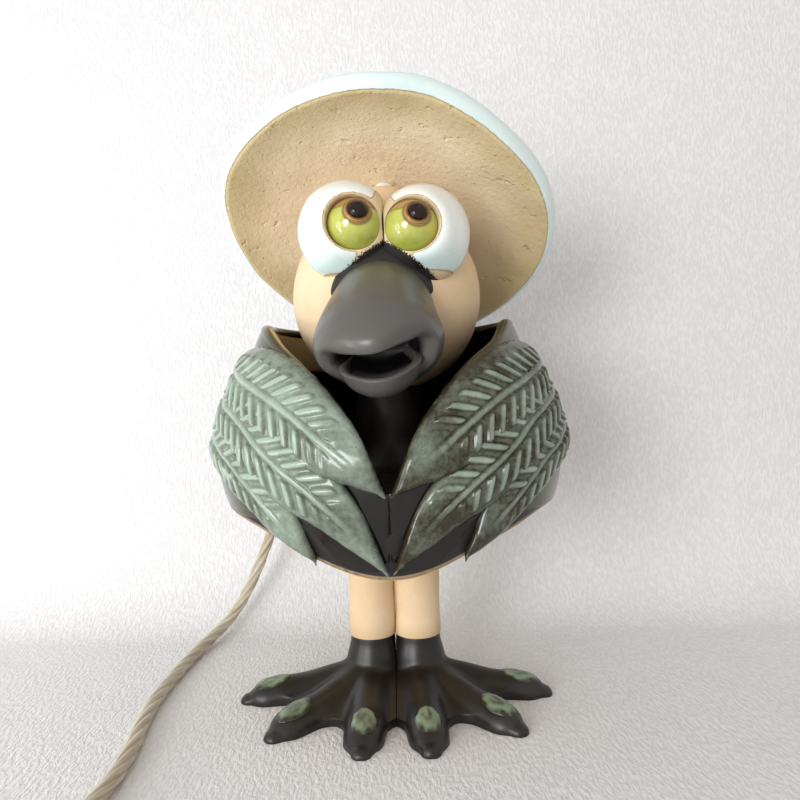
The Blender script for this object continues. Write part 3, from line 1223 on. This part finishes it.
def nail_pad(word, name, side):
    """Oval pad let into a toe near its point: a flat ellipsoid bent over the toe's top, which is found
    by lowering each of its points from above onto the toe, halving the step each time."""
    start, end = toe_line(side, name)[:2]
    aim = (end - start) / np.linalg.norm(end - start)
    share, turn = grid(44, 80, 0.01, 0.99)
    lean = share * math.pi
    along, across = 6.2 * np.sin(lean) * np.cos(turn), 4.1 * np.sin(lean) * np.sin(turn)
    middle = end - aim * 3.6
    x = middle[0] + along * aim[0] - across * aim[1]
    y = middle[1] + along * aim[1] + across * aim[0]
    low, high = 0 * x, 0 * x + 12.0
    for _ in range(24):
        half = (low + high) / 2
        away, radius = toe_axis(stacked(x, y, half), side, name)
        inside = np.linalg.norm(away, axis=-1) < radius
        low, high = np.where(inside, half, low), np.where(inside, high, half)
    middle_share = np.sin(lean) + 0 * turn
    dish = 0.35 * smooth(0.75, 0.2, middle_share) * (share > 0.5)
    z = low - 0.85 * np.cos(lean) - 0.1 - dish
    streak = 0.35 * wobble(stacked(along * 0.6, across * 2.2, 0 * along + side), 3.0, 41)
    pool = 0.85 - 0.95 * smooth(0.66, 0.98, middle_share) - 0.35 * smooth(0.6, 0.2, middle_share) + streak
    return surface("nail_%s_%s_pad" % (word, name), stacked(x, y, z), pool=pool)


# ---- cord ----------------------------------------------------------------------------------------
# The route in mm, chosen by hand: out of the hat, over its back, down to the floor and forward, then
# round the hanging loop and back to its knot.
CORD_ROUTE = [
    (0, 0, 165), (0, 0, 180.5), (-5.5, 9.6, 190), (-12.9, 24, 188), (-19.5, 35, 170.5),
    (-28, 49, 150.5), (-35, 58, 126), (-42, 63, 92), (-51, 66, 56), (-61, 67, 27), (-71, 60, 7),
    (-78, 40, 2.3), (-80.5, 10, 2.3), (-79.5, -20, 2.3), (-73, -52, 2.3), (-76, -83, 2.3),
    (-92, -104, 2.3), (-96, -124, 2.3), (-86, -139.5, 2.3), (-68, -138, 2.3), (-59.5, -122, 2.3),
    (-66, -103.5, 2.3), (-76, -90, 4.5),
]
CORD_D = 4.5


def cord_line():
    """Points in mm read from a NURBS spline that has the route's points as its control points."""
    curve = bpy.data.curves.new("cord_route", "CURVE")
    curve.dimensions = "3D"
    curve.resolution_u = 24
    spline = curve.splines.new("NURBS")
    spline.points.add(len(CORD_ROUTE) - 1)
    for point, place_mm in zip(spline.points, CORD_ROUTE):
        point.co = tuple(value * MM for value in place_mm) + (1.0,)
    spline.order_u = 3
    spline.use_endpoint_u = True
    holder = bpy.data.objects.new("cord_route", curve)
    mesh = bpy.data.meshes.new_from_object(holder)
    flat = np.empty(len(mesh.vertices) * 3)
    mesh.vertices.foreach_get("co", flat)
    bpy.data.objects.remove(holder)
    bpy.data.curves.remove(curve)
    bpy.data.meshes.remove(mesh)
    return flat.reshape(-1, 3) / MM


def along_line(line, count):
    """The line's points spread evenly over its length, and how far along each one is."""
    run = np.concatenate([[0], np.cumsum(np.linalg.norm(np.diff(line, axis=0), axis=1))])
    s = np.linspace(0, run[-1], count)
    return np.stack([np.interp(s, run, line[:, k]) for k in range(3)], axis=1), s


def carried_frames(line):
    """Two directions across the line at each point, carried along it without twist: each
    step mirrors the last frame in the plane between two points and then in the plane between the
    tangents."""
    tangent = np.gradient(line, axis=0)
    tangent /= np.linalg.norm(tangent, axis=1)[:, None]
    first = np.cross(tangent[0], [1.0, 0.3, 0.0])
    normal = [first / np.linalg.norm(first)]
    for index in range(len(line) - 1):
        step = line[index + 1] - line[index]
        side = normal[-1] - 2 / (step @ step) * (step @ normal[-1]) * step
        went = tangent[index] - 2 / (step @ step) * (step @ tangent[index]) * step
        gap = tangent[index + 1] - went
        normal.append(side - 2 / max(gap @ gap, 1e-12) * (gap @ side) * gap)
    normal = np.array(normal)
    return normal, np.cross(tangent, normal)


def laid_rope(name, line, s, diameter, plies, lay, sides):
    """Tube along a line whose section is a ring of round plies, turning once every lay mm.

    At an angle a from a ply's middle the surface is at c cos(a) + sqrt(p^2 - c^2 sin^2(a)), where c
    is the distance of the ply's middle from the rope's and p its radius."""
    normal, cross = carried_frames(line)
    around = np.linspace(0, 2 * math.pi, sides, endpoint=False)[None, :]
    twist = around - 2 * math.pi * s[:, None] / lay
    beat = (twist * plies / (2 * math.pi)) % 1.0 - 0.5
    angle = beat * 2 * math.pi / plies
    centre, ply = 0.29 * diameter, 0.21 * diameter
    radius = centre * np.cos(angle) + np.sqrt(np.maximum(ply ** 2 - (centre * np.sin(angle)) ** 2, 0.01))
    radius = radius * (1.0 + 0.02 * np.sin(s[:, None] * 1.7) + 0.02 * np.sin(s[:, None] * 0.63 + 1.0))
    points = line[:, None, :] + radius[..., None] * (
        np.cos(around)[..., None] * normal[:, None, :] + np.sin(around)[..., None] * cross[:, None, :])
    points[..., 2] = np.maximum(points[..., 2], 0.05)
    low, high = radius.min(), radius.max()
    piece = surface(name, points, ply=(radius - low) / (high - low))
    strand_map(piece, s, around[0], len(s), sides, lay)
    return piece


def strand_map(piece, s, around, rows, sides, lay):
    """UV map whose U runs along the cord and V round it, sheared so that V follows the plies."""
    mesh = piece.data
    loops = np.empty(len(mesh.loops), int)
    mesh.loops.foreach_get("vertex_index", loops)
    vertex = np.minimum(loops, rows * sides - 1)
    row, column = vertex // sides, vertex % sides
    turn = around[column] / (2 * math.pi)
    starts = np.empty(len(mesh.polygons), int)
    totals = np.empty(len(mesh.polygons), int)
    mesh.polygons.foreach_get("loop_start", starts)
    mesh.polygons.foreach_get("loop_total", totals)
    wide = np.maximum.reduceat(turn, starts) - np.minimum.reduceat(turn, starts) > 0.5
    turn = np.where(np.repeat(wide, totals) & (turn < 0.5), turn + 1.0, turn)
    uv = np.stack([s[row] * MM, (turn - s[row] / lay) * 0.014], axis=1)
    layer = mesh.uv_layers.new(name="along")
    layer.data.foreach_set("uv", uv.astype(np.float32).reshape(-1))


class BELL_OT_cord(bpy.types.Operator):
    """Lay the five-ply flax cord along its route, with the knot that makes its loop"""
    bl_idname = "bird_bell.cord"
    bl_label = "Cord"

    def execute(self, context):
        flax = kept("flax", flax_finish)
        line, s = along_line(cord_line(), 2400)
        rope = laid_rope("hanging_cord_laid", line, s, CORD_D, 5, in_mm("cord_lay"), 40)
        place(rope, "hanging_cord", "bell", flax)
        knot = self.knot(flax)
        return {"FINISHED"}

    def knot(self, flax):
        """Overhand knot: the trefoil x = sin t + 2 sin 2t, y = cos t - 2 cos 2t, z = -sin 3t, drawn
        tight and lying on the floor."""
        middle = node_centre("end_knot")
        t = np.linspace(0, 2 * math.pi, 240)
        x, y = np.sin(t) + 2 * np.sin(2 * t), np.cos(t) - 2 * np.cos(2 * t)
        line = middle + stacked(x, y, -1.1 * np.sin(3 * t)) * 1.35 + np.array([0, 0, 0.2])
        s = np.concatenate([[0], np.cumsum(np.linalg.norm(np.diff(line, axis=0), axis=1))])
        piece = laid_rope("end_knot_tied", line, s, 4.2, 3, s[-1] / 6, 24)
        return place(piece, "end_knot", "bell", flax)


# ---- stage ---------------------------------------------------------------------------------------
class BELL_OT_stage(bpy.types.Operator):
    """Set the pale floor and backdrop, the soft window light and the camera"""
    bl_idname = "bird_bell.stage"
    bl_label = "Stage"

    def execute(self, context):
        self.floor()
        self.lamp("window", (-0.38, -0.70, 0.17), 0.34, 3.5, (0.97, 0.99, 1.0))
        self.lamp("side pane", (-0.40, -0.24, 0.12), 0.22, 0.35, (0.97, 0.99, 1.0))
        self.lamp("low pane", (-0.27, -0.18, 0.03), 0.05, 0.10, (1.0, 1.0, 1.0))
        self.surroundings(context)
        self.camera(context)
        return {"FINISHED"}

    def floor(self):
        """Sheet that runs flat from behind the camera and curves up behind the bird: a straight run, a
        quarter circle and a straight wall, carried sideways."""
        angle = np.linspace(0, math.pi / 2, 24)
        bend, back = 0.04, 0.045
        y = np.concatenate([[-1.4], back + bend * np.sin(angle), [back + bend]])
        z = np.concatenate([[0.0], bend - bend * np.cos(angle), [1.8]])
        x = np.array([-2.2, 2.2])
        points = np.stack(np.broadcast_arrays(x[None, :], y[:, None], z[:, None]), axis=-1).reshape(-1, 3)
        faces = [(2 * i, 2 * i + 1, 2 * i + 3, 2 * i + 2) for i in range(len(y) - 1)]
        mesh = bpy.data.meshes.new("floor")
        mesh.from_pydata(points.tolist(), [], faces)
        mesh.polygons.foreach_set("use_smooth", np.ones(len(faces), bool))
        sheet = bpy.data.objects.new("floor", mesh)
        bpy.context.collection.objects.link(sheet)
        mesh.materials.append(kept("floor", floor_finish))

    def lamp(self, name, at, size, power, color):
        light = bpy.data.lights.new(name, "AREA")
        light.shape = "DISK"
        light.size, light.energy, light.color = size, power, color
        lamp = bpy.data.objects.new(name, light)
        lamp.location = at
        aim = np.array([0.0, 0.0, 0.09]) - np.array(at)
        tip, turn = math.atan2(math.hypot(aim[0], aim[1]), -aim[2]), math.atan2(aim[1], aim[0])
        lamp.rotation_euler = (tip, 0, turn - math.pi / 2)
        bpy.context.collection.objects.link(lamp)

    def surroundings(self, context):
        world = bpy.data.worlds.new("white room")
        world.use_nodes = True
        background = world.node_tree.nodes["Background"]
        background.inputs["Color"].default_value = (1.0, 0.95, 0.91, 1)
        background.inputs["Strength"].default_value = settings().room_light
        context.scene.world = world

    def camera(self, context):
        lens = bpy.data.cameras.new("camera")
        lens.lens = settings().lens
        lens.sensor_width = 36.0
        lens.clip_start = 0.01
        camera = bpy.data.objects.new("camera", lens)
        camera.location = (0.003654, -0.2262, 0.0994)
        camera.rotation_euler = (math.radians(90), settings().camera_roll, 0)
        bpy.context.collection.objects.link(camera)
        context.scene.camera = camera
        context.scene.view_settings.view_transform = "Standard"


# ---- sizes and colours, panel, registration ------------------------------------------------------
def length(name, description, default, low, high):
    """A length, given here in mm and kept in metres."""
    return FloatProperty(name=name, description=description, default=default * MM, min=low * MM,
                         max=high * MM, subtype="DISTANCE", unit="LENGTH", precision=4)


def colour(name, description, default):
    return FloatVectorProperty(name=name, description=description, subtype="COLOR", size=3,
                               default=default, min=0.0, max=1.0)


class BirdBellSettings(bpy.types.PropertyGroup):
    hand_wobble: FloatProperty(name="Hand Wobble", description="How uneven the hand building left the clay",
                               default=1.0, min=0.0, max=2.0, subtype="FACTOR")
    barb_spacing: length("Barb Spacing", "From one pressed barb to the next along a quill", 5.3, 3.0, 8.0)
    barb_height: length("Barb Height", "How far the barbs stand up", 1.15, 0.2, 1.5)
    feather_rows: IntProperty(name="Feather Rows", description="Rows of points along a feather",
                              default=300, min=60, max=400)
    cord_lay: length("Cord Lay", "Length of one turn of the cord's plies", 46.0, 8.0, 90.0)
    room_light: FloatProperty(name="Room Light", description="Brightness of the white room",
                              default=0.74, min=0.0, max=2.0)
    lens: FloatProperty(name="Lens", description="Focal length of the camera",
                        default=29.25, min=10.0, max=200.0, unit="CAMERA")
    camera_roll: FloatProperty(name="Camera Roll", description="How far the camera leans", subtype="ANGLE",
                               default=math.radians(1.5), min=-0.2, max=0.2)
    clay: colour("Clay", "Bare clay of the head and legs", (0.80, 0.62, 0.41))
    hat_clay: colour("Hat Clay", "Bare clay in the hat's hollow", (0.80, 0.66, 0.46))
    clay_toasted: colour("Toasted Clay", "Clay where the kiln coloured it", (0.50, 0.30, 0.11))
    hat_toasted: colour("Toasted Hat Clay", "Olive clay near the glaze", (0.50, 0.38, 0.14))
    white_glaze: colour("White Glaze", "White glaze of the hat and eye lobes", (0.84, 0.86, 0.84))
    aqua_glaze: colour("Pooled White Glaze", "White glaze where it is thick", (0.60, 0.76, 0.74))
    dark_glaze: colour("Dark Glaze", "Black-brown glaze of the bell, saddle and feet", (0.009, 0.007, 0.006))
    dark_pooled: colour("Pooled Dark Glaze", "Dark glaze where it is thick", (0.026, 0.024, 0.019))
    feather_thin: colour("Feather Ground", "Green glaze where it is thin", (0.028, 0.023, 0.010))
    feather_pooled: colour("Feather Barbs", "Green glaze where it is thick", (0.34, 0.43, 0.35))
    cape_pooled: colour("Cape", "Green glaze on the cape", (0.12, 0.14, 0.085))
    nail_glaze: colour("Nails", "Green glaze of the nails", (0.20, 0.27, 0.18))
    eye_glaze: colour("Eyes", "Yellow-green glaze of the eyeballs", (0.52, 0.53, 0.11))
    eye_deep: colour("Eyes, Deep", "Eye glaze where it is thick", (0.31, 0.36, 0.05))
    eye_ochre: colour("Eye Ochre", "Ochre slip above the eyes", (0.42, 0.24, 0.07))
    ring_glaze: colour("Eye Lines", "Brown line round each eye and pupil", (0.10, 0.035, 0.010))
    pupil_black: colour("Pupil", "Black glaze of the pupils", (0.006, 0.004, 0.003))
    pupil_brown: colour("Pupil, Brown", "Pupil glaze where it is thick", (0.03, 0.016, 0.01))
    beak_glaze: colour("Beak", "Grey-black glaze of the beak", (0.095, 0.088, 0.084))
    mouth_black: colour("Mouth", "Black inside the beak", (0.005, 0.004, 0.004))
    beak_olive: colour("Beak Top", "Beak glaze at its root", (0.13, 0.125, 0.075))
    flax: colour("Flax", "Lit fibres of the cord", (0.66, 0.61, 0.50))
    flax_dark: colour("Flax, Dark", "Fibres between the plies", (0.36, 0.29, 0.18))
    floor: colour("Floor", "Pale floor and backdrop", (0.70, 0.70, 0.71))


OPERATORS = (BELL_OT_body, BELL_OT_cape, BELL_OT_feathers, BELL_OT_head, BELL_OT_eyes, BELL_OT_beak,
             BELL_OT_hat, BELL_OT_legs, BELL_OT_feet, BELL_OT_cord, BELL_OT_stage)


class BELL_PT_panel(bpy.types.Panel):
    """Sizes, colours and one button for each piece"""
    bl_label = "Bird Bell"
    bl_idname = "BELL_PT_panel"
    bl_space_type = "VIEW_3D"
    bl_region_type = "UI"
    bl_category = "Bird Bell"

    def draw(self, context):
        for name in BirdBellSettings.__annotations__:
            self.layout.prop(context.scene.bird_bell, name)
        for operator in OPERATORS:
            self.layout.operator(operator.bl_idname)


CLASSES = (BirdBellSettings,) + OPERATORS + (BELL_PT_panel,)


def register():
    for each in CLASSES:
        bpy.utils.register_class(each)
    bpy.types.Scene.bird_bell = PointerProperty(type=BirdBellSettings)


def unregister():
    del bpy.types.Scene.bird_bell
    for each in reversed(CLASSES):
        bpy.utils.unregister_class(each)


def main():
    register()
    for operator in OPERATORS:
        group, name = operator.bl_idname.split(".")
        getattr(getattr(bpy.ops, group), name)()


if __name__ == "__main__":
    main()
